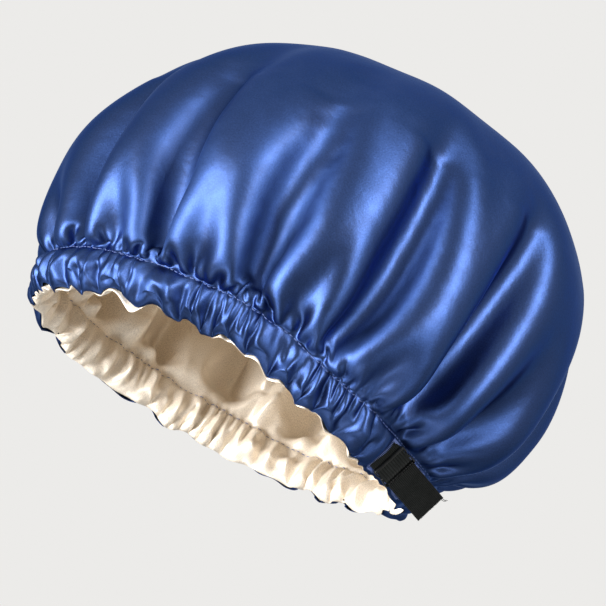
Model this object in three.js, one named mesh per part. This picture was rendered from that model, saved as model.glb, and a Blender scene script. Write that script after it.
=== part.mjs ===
// A reversible satin sleep cap: two cloth layers gathered on an elastic band, with a slider at the nape.
// Lengths are in millimetres. The opening's centre is the origin, +Z points to the crown and +X to the nape.
import * as THREE from "three";

// Driving sizes of the cap
const strapWidth = 19;
const crownHeight = 209;
const openingFrontReach = 129;
const openingNapeReach = 119;
const openingHalfWidth = 111;
const casingHeight = 25;
const clothThickness = 0.8;
const elasticThickness = 1;
const clearance = 0.3;
const looseGap = 0.45;

// The crown is longest in a direction a little to one side of the nape
const fullestAngle = THREE.MathUtils.degToRad(35);
const meanFullness = 146;
const foreAndAftFullness = 3;
const lengthwiseFullness = 3;
const meanFullestHeight = 84;
const foreAndAftFullestHeight = 3;
const meanDomeRoundness = 0.9;
const foreAndAftDomeRoundness = 0.08;

// The casing leans outwards, less so round the front, and the strap pulls the opening into a straight edge
// that sags a little
const casingLean = THREE.MathUtils.degToRad(24);
const frontUprightShare = 0.7;
const uprightStart = THREE.MathUtils.degToRad(75);
const uprightFull = THREE.MathUtils.degToRad(140);
const napeDistance = 104;
const sagDepth = 16;
const sagFull = THREE.MathUtils.degToRad(22);
const nearSagFade = THREE.MathUtils.degToRad(50);
const farSagFade = THREE.MathUtils.degToRad(24);

// The crown's creases between its folds, round from the nape: the direction in degrees where each starts at
// the stitch line, the climb where it ends and how much of the full depth it has
const creases = [
  { place: 0, end: 1.95, depthShare: 1 },
  { place: 18, end: 2.3, depthShare: 0.9 },
  { place: 43, end: 2.2, depthShare: 1 },
  { place: 68, end: 2.4, depthShare: 1 },
  { place: 93, end: 2.2, depthShare: 0.8 },
  { place: 118, end: 2.4, depthShare: 1 },
  { place: 143, end: 2.1, depthShare: 0.9 },
  { place: 168, end: 2.35, depthShare: 1 },
  { place: 193, end: 2.2, depthShare: 0.9 },
  { place: 217, end: 2.35, depthShare: 1 },
  { place: 231, end: 2.5, depthShare: 0.9 },
  { place: 245, end: 2.6, depthShare: 1 },
  { place: 258, end: 2.3, depthShare: 1 },
  { place: 269, end: 2.6, depthShare: 0.8 },
  { place: 281, end: 2.2, depthShare: 0.8 },
  { place: 295, end: 2.1, depthShare: 1.1 },
  { place: 307, end: 2.3, depthShare: 0.9 },
  { place: 318, end: 2.55, depthShare: 1 },
  { place: 330, end: 1.95, depthShare: 0.8 },
  { place: 342, end: 2.5, depthShare: 1.1 },
];
const creaseDepth = 16;
const creaseLevelShare = 0.27;
const creaseEnd = 0.5;
const levelFadeStart = 1.8;
const levelFadeEnd = 2.7;

// The creases lean aside as they climb, most of all away from this direction
const creaseLean = 0.17;
const creaseLeanStart = THREE.MathUtils.degToRad(60);

// Cloth points in each fold, and the gathers of the casing
const pointsPerFold = 4;
const gatherDepth = 1.1;
const plainReach = THREE.MathUtils.degToRad(24);
const plainFade = THREE.MathUtils.degToRad(14);

// Where the rings of cloth points run. The climb is 0 at the opening's edge.
const stitchClimb = 1;
const fullestClimb = 2;
const crownClimb = 3;
const channelStartShare = 0.1;
const channelEndShare = 0.9;
const foldFull = 1.6;
const fineClimbs = [0, channelStartShare, channelEndShare, stitchClimb, 1.4, 1.85];
const coarseClimbs = [2.12, 2.36, 2.6];
const topClimb = 2.8;

// The slit, counted in cloth points from the nape
const slitFirst = -2;
const slitLast = 3;

// The stitches, flat on the cloth
const threadWidth = 0.6;
const threadThickness = 0.3;
const stitchLineShare = 0.955;
const slitStitchShare = 0.03;
const slitStitchTurnShare = 0.1;

// The strap at the nape, from the slit's first end to the end of the tail
const runHeight = 3;
const riseStart = -16.5;
const riseEnd = -11;
const runEnd = 18;
const tailLength = 33;
const hiddenEnd = 15;
const turnReach = 6;
const turnSteps = 8;

// The slider
const sliderPlace = -3;
const sliderLength = 18;
const sliderWidth = 21.6;
const sliderThickness = 1.6;
const sliderBar = 1.9;
const sliderRail = 1;
const sliderWaist = 0.6;
const sliderCorner = 2.4;
const windowCorner = 0.5;
const curveSteps = 4;

const foldCount = creases.length;
const pointCount = foldCount * pointsPerFold;
const channelGap = elasticThickness / 2 + clearance;
const seamGap = clearance / 2;
const fullTurn = 2 * Math.PI;
const fullTurnDegrees = 360;
const quarterTurn = Math.PI / 2;
const probe = 1e-4;

function satin(color, roughness) {
  return new THREE.MeshStandardMaterial({ color, roughness, metalness: 0.1 });
}

const blueSatin = satin(0x2f57ad, 0.35);
const champagneSatin = satin(0xead4ae, 0.38);
const blueThread = new THREE.MeshStandardMaterial({ color: 0x274690, roughness: 0.6, metalness: 0 });
const blackElastic = new THREE.MeshStandardMaterial({ color: 0x1d201f, roughness: 0.85, metalness: 0 });
const blackPlastic = new THREE.MeshStandardMaterial({ color: 0x141515, roughness: 0.4, metalness: 0 });

function smooth(low, high, value) {
  return THREE.MathUtils.smoothstep(value, low, high);
}

// How far a direction is from the nape, from 0 to half a turn
function fromNape(angle) {
  return Math.abs(Math.atan2(Math.sin(angle), Math.cos(angle)));
}

function awayFromStrap(angle) {
  return smooth(plainReach, plainReach + plainFade, fromNape(angle));
}

// The direction of a place on the stitch line, given as a turn on which the creases are evenly spaced
function directionOf(turn) {
  const count = THREE.MathUtils.euclideanModulo((turn / fullTurn) * foldCount, foldCount);
  const crease = Math.floor(count);
  const next = crease + 1 < foldCount ? creases[crease + 1].place : fullTurnDegrees;
  return THREE.MathUtils.degToRad(THREE.MathUtils.lerp(creases[crease].place, next, count - crease));
}

function openingRadius(angle) {
  const lengthwise = Math.cos(angle - fullestAngle);
  const along = lengthwise / (lengthwise > 0 ? openingNapeReach : openingFrontReach);
  const across = Math.sin(angle - fullestAngle) / openingHalfWidth;
  const oval = 1 / Math.hypot(along, across);
  const ahead = Math.cos(angle) * oval;
  return ahead > napeDistance ? napeDistance / Math.cos(angle) : oval;
}

function leanAt(angle) {
  return casingLean * (1 - frontUprightShare * smooth(uprightStart, uprightFull, fromNape(angle)));
}

function openingSag(angle) {
  const fade = Math.sin(angle) > 0 ? farSagFade : nearSagFade;
  return -sagDepth * (1 - smooth(sagFull, sagFull + fade, fromNape(angle)));
}

function fullness(angle) {
  const turned = angle - fullestAngle;
  return meanFullness + foreAndAftFullness * Math.cos(turned) + lengthwiseFullness * Math.cos(2 * turned);
}

function fullestHeight(angle) {
  return meanFullestHeight + foreAndAftFullestHeight * Math.cos(angle - fullestAngle);
}

// A smaller power gives fuller shoulders
function domeRoundness(angle) {
  return meanDomeRoundness - foreAndAftDomeRoundness * Math.cos(angle - fullestAngle);
}

// The cloth's profile in one direction, as a distance from the axis and a height
function profile(angle, climb) {
  const edge = new THREE.Vector2(openingRadius(angle), openingSag(angle));
  const casingRise = casingHeight * Math.min(climb, stitchClimb);
  const casingEnd = edge.clone();
  casingEnd.x += casingRise * Math.sin(leanAt(angle));
  casingEnd.y += casingRise * Math.cos(leanAt(angle));
  if (climb <= stitchClimb) return casingEnd;
  const wide = fullness(angle);
  const level = fullestHeight(angle);
  if (climb <= fullestClimb) {
    const sweep = (climb - stitchClimb) * quarterTurn;
    return new THREE.Vector2(
      casingEnd.x + (wide - casingEnd.x) * Math.sin(sweep),
      casingEnd.y + (level - casingEnd.y) * (1 - Math.cos(sweep)),
    );
  }
  const sweep = (crownClimb - climb) * quarterTurn;
  return new THREE.Vector2(
    wide * Math.sin(sweep) ** domeRoundness(angle),
    level + (crownHeight - level) * Math.cos(sweep) ** domeRoundness(angle),
  );
}

// The folds' height over the profile: each crease is a groove with a round upper end
function foldHeight(turn, climb) {
  const count = (turn / fullTurn) * foldCount;
  const nearest = Math.round(count);
  const crease = creases[THREE.MathUtils.euclideanModulo(nearest, foldCount)];
  const aside = 2 * (count - nearest);
  const beyond = Math.max(climb - crease.end + creaseEnd, 0) / creaseEnd;
  const reach = Math.min(Math.hypot(aside, beyond), 1);
  const groove = (crease.depthShare * (1 + Math.cos(Math.PI * reach))) / 2;
  const level = creaseLevelShare * (1 - smooth(levelFadeStart, levelFadeEnd, climb));
  return creaseDepth * (level - groove) * smooth(stitchClimb, foldFull, climb);
}

// A point on the surface halfway between the two cloths, without the folds
function plainPoint(turn, climb) {
  const start = directionOf(turn);
  const lean = creaseLean * Math.sin(start + creaseLeanStart);
  const angle = start + lean * Math.max(climb - stitchClimb, 0);
  const at = profile(angle, climb);
  return new THREE.Vector3(at.x * Math.cos(angle), at.x * Math.sin(angle), at.y);
}

function crossNormal(pointAt, turn, climb) {
  const here = pointAt(turn, climb);
  const ahead = pointAt(turn + probe, climb).sub(pointAt(turn - probe, climb));
  const above = pointAt(turn, climb + probe).sub(here).normalize();
  const below = here.sub(pointAt(turn, climb - probe)).normalize();
  return ahead.cross(above.add(below)).normalize();
}

function foldedPoint(turn, climb) {
  const push = foldHeight(turn, climb);
  return plainPoint(turn, climb).addScaledVector(crossNormal(plainPoint, turn, climb), push);
}

function clothNormal(turn, climb) {
  return crossNormal(foldedPoint, turn, climb);
}

// A point at some distance outwards from the surface between the cloths
function offsetPoint(turn, climb, distance) {
  return foldedPoint(turn, climb).addScaledVector(clothNormal(turn, climb), distance);
}

// Every other point of the casing stands out, on the outer cloth and on the lining
function gather(turn, climb, side) {
  const raised = (1 + side * Math.cos((pointCount / 2) * turn)) / 2;
  const inCasing = climb > 0 && climb <= stitchClimb ? 1 : 0;
  return gatherDepth * raised * inCasing * awayFromStrap(directionOf(turn));
}

function layerGap(climb) {
  if (climb > stitchClimb) return looseGap;
  return climb === channelStartShare || climb === channelEndShare ? channelGap : seamGap;
}

function clothRing(count, climb, side, depth) {
  return Array.from({ length: count }, (_, index) => {
    const turn = (fullTurn * index) / count;
    const distance = layerGap(climb) + gather(turn, climb, side) + depth;
    return offsetPoint(turn, climb, side * distance);
  });
}

function clothFace(side, depth) {
  const rings = [
    ...fineClimbs.map((climb) => clothRing(pointCount, climb, side, depth)),
    ...coarseClimbs.map((climb) => clothRing(pointCount / 2, climb, side, depth)),
    clothRing(foldCount, topClimb, side, depth),
  ];
  const top = new THREE.Vector3(0, 0, crownHeight + side * (looseGap + depth));
  return { rings, top };
}

// The triangles between two rings, the upper one with as many points or half as many
function ringTriangles(low, high, isOpen) {
  const found = [];
  for (let index = 0; index < high.count; index += 1) {
    const next = (index + 1) % high.count;
    if (low.count === high.count) {
      if (isOpen(index)) continue;
      found.push([low.first + index, low.first + next, high.first + next]);
      found.push([low.first + index, high.first + next, high.first + index]);
    } else {
      const left = low.first + 2 * index;
      const middle = left + 1;
      const right = low.first + ((2 * index + 2) % low.count);
      found.push([left, middle, high.first + index]);
      found.push([middle, high.first + next, high.first + index]);
      found.push([middle, right, high.first + next]);
    }
  }
  return found;
}

function faceTriangles(face, isOpen) {
  const found = [];
  let first = 0;
  const spans = face.rings.map((ring) => {
    const span = { first, count: ring.length };
    first += ring.length;
    return span;
  });
  for (let level = 0; level + 1 < spans.length; level += 1) {
    found.push(...ringTriangles(spans[level], spans[level + 1], (index) => isOpen(level, index)));
  }
  const last = spans[spans.length - 1];
  for (let index = 0; index < last.count; index += 1) {
    found.push([last.first + index, last.first + ((index + 1) % last.count), first]);
  }
  return found;
}

// A closed cloth from its outside and inside faces, which meet along every free edge
function closedCloth(outside, inside, isOpen) {
  const outer = faceTriangles(outside, isOpen);
  const offset = outside.rings.reduce((sum, ring) => sum + ring.length, 1);
  const used = new Set(outer.flatMap(([a, b, c]) => [`${a},${b}`, `${b},${c}`, `${c},${a}`]));
  const walls = [];
  for (const edge of used) {
    const [from, to] = edge.split(",").map(Number);
    if (used.has(`${to},${from}`)) continue;
    walls.push([to, from, from + offset], [to, from + offset, to + offset]);
  }
  const inner = outer.map(([a, b, c]) => [a + offset, c + offset, b + offset]);
  const points = [...outside.rings.flat(), outside.top, ...inside.rings.flat(), inside.top];
  return solidFrom(points, [...outer, ...inner, ...walls]);
}

function solidFrom(points, triangles) {
  const corners = triangles.flat().map((index) => points[index]);
  return new THREE.BufferGeometry().setFromPoints(corners);
}

function inSlit(level, index) {
  const counted = index > pointCount / 2 ? index - pointCount : index;
  return level === 1 && counted >= slitFirst && counted < slitLast;
}

function outerLayer() {
  return closedCloth(clothFace(1, clothThickness), clothFace(1, 0), inSlit);
}

function liningLayer() {
  return closedCloth(clothFace(-1, 0), clothFace(-1, clothThickness), () => false);
}

// A bar swept through cross-sections with equally many corners, either a loop or with two flat ends
function sweep(sections, isLoop) {
  const corners = sections[0].length;
  const triangles = [];
  const joins = isLoop ? sections.length : sections.length - 1;
  for (let at = 0; at < joins; at += 1) {
    const here = at * corners;
    const there = ((at + 1) % sections.length) * corners;
    for (let corner = 0; corner < corners; corner += 1) {
      const next = (corner + 1) % corners;
      triangles.push([here + corner, there + next, here + next]);
      triangles.push([here + corner, there + corner, there + next]);
    }
  }
  if (!isLoop) {
    const last = (sections.length - 1) * corners;
    for (let corner = 1; corner + 1 < corners; corner += 1) {
      triangles.push([0, corner, corner + 1]);
      triangles.push([last, last + corner + 1, last + corner]);
    }
  }
  return solidFrom(sections.flat(), triangles);
}

// The strap's own directions at the nape: along it, up its width, and out of the cap
const strapAlong = new THREE.Vector3(0, 1, 0);
const strapUp = new THREE.Vector3(Math.sin(casingLean), 0, Math.cos(casingLean));
const strapOut = new THREE.Vector3(Math.cos(casingLean), 0, -Math.sin(casingLean));
const napeEdge = new THREE.Vector3(napeDistance, 0, openingSag(0));
const strapMiddle = napeEdge.addScaledVector(strapUp, casingHeight / 2);

function strapPoint(along, up, out) {
  return strapMiddle
    .clone()
    .addScaledVector(strapAlong, along)
    .addScaledVector(strapUp, up)
    .addScaledVector(strapOut, out);
}

// A cross-section of the elastic at the nape, tilted by the strip's slope there
function strapSection(along, out, slope) {
  const half = elasticThickness / 2;
  const shiftAlong = -Math.sin(slope) * half;
  const shiftOut = Math.cos(slope) * half;
  return [
    strapPoint(along - shiftAlong, -strapWidth / 2, out - shiftOut),
    strapPoint(along + shiftAlong, -strapWidth / 2, out + shiftOut),
    strapPoint(along + shiftAlong, strapWidth / 2, out + shiftOut),
    strapPoint(along - shiftAlong, strapWidth / 2, out - shiftOut),
  ];
}

// A cross-section of the elastic inside the casing
function bandSection(turn) {
  const margin = (casingHeight - strapWidth) / 2 / casingHeight;
  const half = elasticThickness / 2;
  return [
    offsetPoint(turn, margin, -half),
    offsetPoint(turn, margin, half),
    offsetPoint(turn, 1 - margin, half),
    offsetPoint(turn, 1 - margin, -half),
  ];
}

// The elastic from its end under the tail, round the casing, out of the slit and under the slider
function elasticBand() {
  const sections = [strapSection(hiddenEnd, 0, 0)];
  for (let index = slitLast; index < pointCount + slitFirst; index += 1) {
    sections.push(bandSection((fullTurn * index) / pointCount));
  }
  const slope = Math.atan2(runHeight, riseEnd - riseStart);
  sections.push(strapSection(riseStart, 0, slope / 2));
  sections.push(strapSection(riseEnd, runHeight, slope / 2));
  sections.push(strapSection(runEnd, runHeight, 0));
  return sweep(sections, false);
}

function strapTail() {
  const start = runEnd + clearance;
  return sweep([strapSection(start, runHeight, 0), strapSection(start + tailLength, runHeight, 0)], false);
}

// The slider's underside lies over the strap that runs below it
const sliderUnderside = runHeight + elasticThickness / 2 + clearance;

// The elastic between the slider's outer bars, over its middle bar
function strapTurn() {
  const low = sliderUnderside + elasticThickness / 2;
  const high = sliderUnderside + sliderThickness + clearance + elasticThickness / 2;
  const sections = [];
  for (let step = 0; step <= turnSteps; step += 1) {
    const share = (2 * step) / turnSteps - 1;
    const along = sliderPlace + share * turnReach;
    const out = low + (high - low) * Math.cos(share * quarterTurn);
    const slope = Math.atan2((low - high) * quarterTurn * Math.sin(share * quarterTurn), turnReach);
    sections.push(strapSection(along, out, slope));
  }
  return sweep(sections, false);
}

function roundedWindow(middle, length, width) {
  const window = new THREE.Path();
  const [left, right, low, high] = [middle - length / 2, middle + length / 2, -width / 2, width / 2];
  window.moveTo(left, low + windowCorner);
  window.lineTo(left, high - windowCorner);
  window.quadraticCurveTo(left, high, left + windowCorner, high);
  window.lineTo(right - windowCorner, high);
  window.quadraticCurveTo(right, high, right, high - windowCorner);
  window.lineTo(right, low + windowCorner);
  window.quadraticCurveTo(right, low, right - windowCorner, low);
  window.lineTo(left + windowCorner, low);
  window.quadraticCurveTo(left, low, left, low + windowCorner);
  return window;
}

// A frame with two windows and a narrow waist at its middle bar
function slider() {
  const [end, side] = [sliderLength / 2, sliderWidth / 2];
  const outline = new THREE.Shape();
  outline.moveTo(-end, sliderCorner - side);
  outline.quadraticCurveTo(-end, -side, sliderCorner - end, -side);
  outline.lineTo(-sliderCorner, -side);
  outline.quadraticCurveTo(0, 2 * sliderWaist - side, sliderCorner, -side);
  outline.lineTo(end - sliderCorner, -side);
  outline.quadraticCurveTo(end, -side, end, sliderCorner - side);
  outline.lineTo(end, side - sliderCorner);
  outline.quadraticCurveTo(end, side, end - sliderCorner, side);
  outline.lineTo(sliderCorner, side);
  outline.quadraticCurveTo(0, side - 2 * sliderWaist, -sliderCorner, side);
  outline.lineTo(sliderCorner - end, side);
  outline.quadraticCurveTo(-end, side, -end, side - sliderCorner);
  const windowLength = (sliderLength - 3 * sliderBar) / 2;
  const windowMiddle = (windowLength + sliderBar) / 2;
  for (const way of [-1, 1]) {
    outline.holes.push(roundedWindow(way * windowMiddle, windowLength, sliderWidth - 2 * sliderRail));
  }
  const options = { depth: sliderThickness, bevelEnabled: false, curveSegments: curveSteps };
  const frame = new THREE.ExtrudeGeometry(outline, options);
  const start = strapPoint(sliderPlace, 0, sliderUnderside);
  return frame.applyMatrix4(new THREE.Matrix4().makeBasis(strapAlong, strapUp, strapOut).setPosition(start));
}

// How far the outer cloth's outside stands from the surface between the cloths
function outerCloth(turn, climb) {
  const toEdge = Math.min(climb, stitchClimb - climb) / channelStartShare;
  const gap = THREE.MathUtils.lerp(seamGap, channelGap, Math.min(toEdge, 1));
  return gap + gather(turn, climb, 1) + clothThickness;
}

// A flat thread's cross-section on the outer cloth, its width along one direction of the cloth
function threadSection(turn, climb, acrossTurn, acrossClimb) {
  const under = outerCloth(turn, climb) + clearance;
  const over = under + threadThickness;
  return [
    offsetPoint(turn - acrossTurn, climb - acrossClimb, under),
    offsetPoint(turn - acrossTurn, climb - acrossClimb, over),
    offsetPoint(turn + acrossTurn, climb + acrossClimb, over),
    offsetPoint(turn + acrossTurn, climb + acrossClimb, under),
  ];
}

const threadClimb = threadWidth / 2 / casingHeight;
const threadTurn = threadWidth / 2 / napeDistance;

function casingStitch() {
  const sections = Array.from({ length: pointCount }, (_, index) =>
    threadSection((fullTurn * index) / pointCount, stitchLineShare, 0, threadClimb),
  );
  return sweep(sections, true);
}

// The stitching round the slit, mitred at its corners
function slitStitch() {
  const pointTurn = fullTurn / pointCount;
  const low = channelStartShare - slitStitchShare;
  const high = channelEndShare + slitStitchShare;
  const first = (slitFirst - slitStitchTurnShare) * pointTurn;
  const last = (slitLast + slitStitchTurnShare) * pointTurn;
  const inner = [];
  for (let index = slitFirst + 1; index < slitLast; index += 1) inner.push(index * pointTurn);
  const sections = [
    threadSection(first, low, threadTurn, threadClimb),
    ...inner.map((turn) => threadSection(turn, low, 0, threadClimb)),
    threadSection(last, low, -threadTurn, threadClimb),
    threadSection(last, channelStartShare, -threadTurn, 0),
    threadSection(last, channelEndShare, -threadTurn, 0),
    threadSection(last, high, -threadTurn, -threadClimb),
    ...inner.reverse().map((turn) => threadSection(turn, high, 0, -threadClimb)),
    threadSection(first, high, threadTurn, -threadClimb),
    threadSection(first, channelEndShare, threadTurn, 0),
    threadSection(first, channelStartShare, threadTurn, 0),
  ];
  return sweep(sections, true);
}

const cap = new THREE.Group();

function add(name, geometry, material) {
  const mesh = new THREE.Mesh(geometry, material);
  mesh.name = name;
  cap.add(mesh);
}

add("outer_cloth", outerLayer(), blueSatin);
add("lining", liningLayer(), champagneSatin);
add("elastic_band", elasticBand(), blackElastic);
add("strap_turn", strapTurn(), blackElastic);
add("strap_tail", strapTail(), blackElastic);
add("slider", slider(), blackPlastic);
add("casing_stitch", casingStitch(), blueThread);
add("slit_stitch", slitStitch(), blueThread);

export default cap;
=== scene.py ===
import math
import bmesh
import bpy
import numpy as np
from mathutils import Matrix, Vector
from mathutils.bvhtree import BVHTree


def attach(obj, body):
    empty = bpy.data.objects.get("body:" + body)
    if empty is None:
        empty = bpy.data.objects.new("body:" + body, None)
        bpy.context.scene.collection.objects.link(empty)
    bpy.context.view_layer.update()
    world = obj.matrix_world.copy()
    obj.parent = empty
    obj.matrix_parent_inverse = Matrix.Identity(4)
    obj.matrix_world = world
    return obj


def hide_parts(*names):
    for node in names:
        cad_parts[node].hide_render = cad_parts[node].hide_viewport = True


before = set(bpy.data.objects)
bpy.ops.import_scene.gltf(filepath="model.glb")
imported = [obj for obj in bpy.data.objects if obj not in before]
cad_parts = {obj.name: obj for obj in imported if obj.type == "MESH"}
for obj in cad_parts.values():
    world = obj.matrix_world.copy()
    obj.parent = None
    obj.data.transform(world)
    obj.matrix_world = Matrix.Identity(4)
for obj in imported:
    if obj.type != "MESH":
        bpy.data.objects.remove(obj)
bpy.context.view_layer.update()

# All sizes are in metres. The opening's centre is the origin, +Z goes up the crown and +X towards the nape.
# A direction is an angle round +Z from the nape. A climb says how far up the cloth a place is: 0 at the
# opening's edge, 1 at the stitch line over the casing, 2 at the crown's fullest height and 3 at its top.
full_turn = 2 * math.pi
half_turn = math.pi
quarter_turn = math.pi / 2
middle_climb = 0.5
stitch_climb = 1
fullest_climb = 2
top_climb = 3

# The opening and the casing round it
opening_front_reach = 0.129
opening_nape_reach = 0.119
opening_half_width = 0.111
fullest_angle = math.radians(35)
nape_distance = 0.104
casing_height = 0.025
casing_lean = math.radians(24)
front_upright_share = 0.7
upright_start = math.radians(75)
upright_full = math.radians(140)
sag_depth = 0.016
sag_full = math.radians(22)
near_sag_fade = math.radians(50)
far_sag_fade = math.radians(24)

# The crown
crown_height = 0.209
mean_fullness = 0.146
fore_and_aft_fullness = 0.003
lengthwise_fullness = 0.003
mean_fullest_height = 0.084
fore_and_aft_fullest_height = 0.003
mean_dome_roundness = 0.9
fore_and_aft_dome_roundness = 0.08

# The cloths, and the rings of points that they are made of
cloth_thickness = 0.0003
layer_gap = 0.0004
channel_gap = 0.0012
row_spacing = 0.0030
casing_rows = 14
most_columns = 480
fewest_columns = 30
tightest_spacing_share = 0.65
slope_step = 0.001
profile_steps = 800
profile_directions = 16
flat_steps = 1200
flat_directions = 72

# A row of waves has their count round the cap, how much their spacing drifts, and a seed. A noise has a seed
# and its range of waves, counted round the cap. A growth or a fade is between two climbs.
drift_waves = range(3, 12)
ridge_sharpness = 0.75
ridge_level_share = 0.6

# The creases between the crown's broad folds: the direction in degrees where each leaves the stitch line, the
# climb where it ends, and its share of the full depth
crease_places = [0, 18, 43, 68, 93, 118, 143, 168, 193, 217, 231, 245, 258, 269, 281, 295, 307, 318, 330, 342]
crease_tops = [1.95, 2.3, 2.2, 2.4, 2.2, 2.4, 2.1, 2.35, 2.3, 2.65,
               2.75, 2.8, 2.5, 2.75, 2.3, 2.2, 2.5, 2.65, 1.95, 2.5]
crease_depth_shares = [1, 0.9, 1, 1, 0.8, 1, 0.9, 1, 1, 1.15, 1.1, 1.15, 1.1, 1, 0.9, 1.1, 1, 1.05, 0.8, 1.15]
crease_end = 0.5
crease_sharpness = 2
crease_lean = 0.17
lean_start = math.radians(60)
lean_rounds = 3
broad_height = 0.017
broad_growth = (1, 1.6)
broad_level_share = 0.2
broad_level_fade = (1.8, 2.7)

# The crown's other folds: puckers at the stitch line, long low folds, and small ones above the stitches
pucker_depth = 0.0045
pucker_growth = (1, 1.08)
pucker_narrowness = 4.5
pucker_end = 0.16
pucker_top = 1.32
pucker_top_wander = 0.06
pucker_top_noise = (8, 5, 20)
pucker_wander_share = 0.5
pucker_noise = (7, 5, 20)
most_pucker_share = 1.6
long_height = 0.0075
long_growth = (1.6, 2.1)
long_fade = (2.7, 3)
small_height = 0.0045
small_growth = (1, 1.12)
small_fade = (1.15, 1.6)
small_waves = (47, 0.8, 11)
small_lean = 0.05
small_wander_share = 0.35
small_noise = (6, 6, 24)

# The waves that the two cloths share where they are sewn together, at the stitch line and at the edge
stitch_waves = (68, 2, 21)
stitch_scallop = 0.0024
scallop_growth = (0.75, 1)
scallop_fade = (1, 1.12)
rim_waves = (60, 2.4, 31)
rim_ruffle = 0.0048
ruffle_fade = (0, 0.3)
rim_rise = 0.09
rim_level_share = 0.5
rim_wander = 0.05
rim_noise = (52, 10, 36)
rim_at_strap_share = 0.5
rim_fade = (0, 0.5)
edge_slip = 0.0009
slip_level_share = 0.3
slip_noise = (61, 6, 40)
slip_fade = (0, 0.15)

# The gathers of the casing, and the small creases that run every way across them
gather_height = 0.0078
gather_sharpness = 0.7
gather_roundness = 0.55
gather_base_share = 0.12
gather_at_strap_share = 0.25
gather_wander_share = 0.3
gather_noise = (47, 12, 70)
least_gather_share = 0.3
most_gather_share = 1.7
gather_slant = 1.8
gather_slant_wander = 1.6
gather_slant_noise = (41, 3, 14)
meeting_reach = 0.22
meeting_wander = 0.12
meeting_noise = (44, 20, 60)
crumple_height = 0.0008
crumple_seed = 71
crumple_waves = 26
crumple_round_waves = (24, 64)
crumple_up_waves = 1.4
crumple_mean = 3.6

# The puffed end of the casing beside the slider, and the room that the casing leaves for the strap
lobe_height = 0.0068
lobe_drop = 0.16
lobe_angle = math.radians(-13.6)
lobe_half_width = math.radians(4.6)
lobe_side_roundness = 1.3
lobe_roundness = 0.3
plain_far_side = math.radians(24)
plain_near_side = math.radians(9.5)
plain_fade = math.radians(6)
tail_gap = 0.012
tail_gap_growth = (math.radians(14), math.radians(29))
tail_gap_fade = (math.radians(34), math.radians(75))
tail_gap_climbs = (1.1, 1.8)

# The lining's own folds, and the ring of places inside the cap that it is seen from when it is hung
lining_fold_height = 0.0055
lining_waves = (38, 1.3, 81)
lining_lean = 0.09
lining_sharpness = 2
lining_wander_share = 0.4
lining_noise = (82, 6, 24)
least_lining_share = 0.3
most_lining_share = 1.6
lining_growth = (1, 1.12)
lining_fade = (1.8, 2.6)
lining_slack = 0.0008
lining_spread = 3
lining_low_rows = 6
lining_rows_above = 3
heart_radius = 0.06
heart_height = 0.075

# How much wider the cloth is than the room it is gathered into, at shares of the way down to the stitch line
gather_place_shares = [0, 0.2, 0.4, 0.6, 0.78, 0.9, 1]
gather_width_shares = [1, 1.02, 1.07, 1.17, 1.33, 1.5, 1.85]

# How the gathered cloth settles: its rounds, how much of a wrong length each pull mends, and its limits
settle_rounds = 400
lengthen_share = 0.6
squeeze_share = 0.35
shear_share = 0.15
bend_share = 0.12
wide_share = 0.25
wide_step = 6
wide_growth = (1.2, 1.9)
coast_share = 0.9
pressure_step = 0.000008
push_every = 8
level_every = 4
slow_waves = 7
furthest_move = 0.016
seam_move_share = 0.08
move_growth = (1, 1.8)
smallest_move = 1e-9
soften_rounds = 30
soften_share = 0.5
soften_low_share = 0.4
soften_low_growth = (1.2, 1.5)
soften_high_growth = (2.2, 2.8)

# The strap at the nape: the band in the casing, its rise out of the slit, and the tail
strap_width = 0.019
elastic_thickness = 0.001
rib_height = 0.0004
rib_points = 4
band_ribs = 19
turn_ribs = 12
tail_ribs = 21
band_low_climb = 0.12
band_high_climb = 0.88
band_steps = 120
band_steps_shown = range(4, 118)
band_probe = 0.02
hidden_end = 0.015
run_height = 0.003
run_end = 0.01815
rise_places = [(-0.0165, 0), (-0.0152, 0.0004), (-0.0137, 0.0015), (-0.0122, 0.0026), (-0.011, run_height),
               (-0.004, run_height), (0.006, run_height), (run_end, run_height)]
turn_reach = 0.006
turn_steps = 24
tail_end = 0.0513
tail_steps = 29
tail_bow = 0.0006
slit_low = -0.0164
slit_high = 0.025
slit_margin_rows = 2

# The slider
slider_place = -0.003
slider_length = 0.018
slider_width = 0.0216
slider_thickness = 0.0016
slider_bar = 0.0019
slider_rail = 0.001
slider_gap = 0.0003
slider_bevel = 0.00035
weld_distance = slider_bevel / 20
slider_corner = 0.0012
slider_waist = 0.0016
slider_notch = 0.0042
window_corner = 0.0006
grip_count = 12
grip_radius = 0.0006

# The stitches. Each has places along its path, as lifts in shares of the thread's radius.
thread_radius = 0.00022
stitch_length = 0.0026
stitch_spacing = 0.0034
stitch_lift_shares = [-0.6, 0.7, 0.9, 0.7, -0.6]
seam_climb = 0.965
seam_steps = 1440
binding_spacing = 0.00085
binding_reach = 0.0011
binding_slant = 0.0002
binding_climb_slant = 0.006
binding_shares = [(-1, -0.4), (-0.5, 0.8), (0.5, 0.8), (1, -0.4)]
binding_thread_share = 0.9
thread_end_share = 0.55

# The frayed end of the tail. Each long thread has its place up the strap, its length and its rise.
fray_seed = 4
fray_radius = 0.00017
fray_count = 34
fray_width_share = 0.48
fray_lengths = (0.0002, 0.0009)
fray_spread = 0.0003
fray_root = 0.0004
fray_bend_share = 0.6
long_frays = ((0.0079, 0.0052, 0.0026), (0.0088, 0.0042, 0.0012))
long_fray_root = 0.001
long_fray_height = 0.0005
long_fray_bow = 0.0008
long_fray_sweep = 3
long_fray_points = 8

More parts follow.
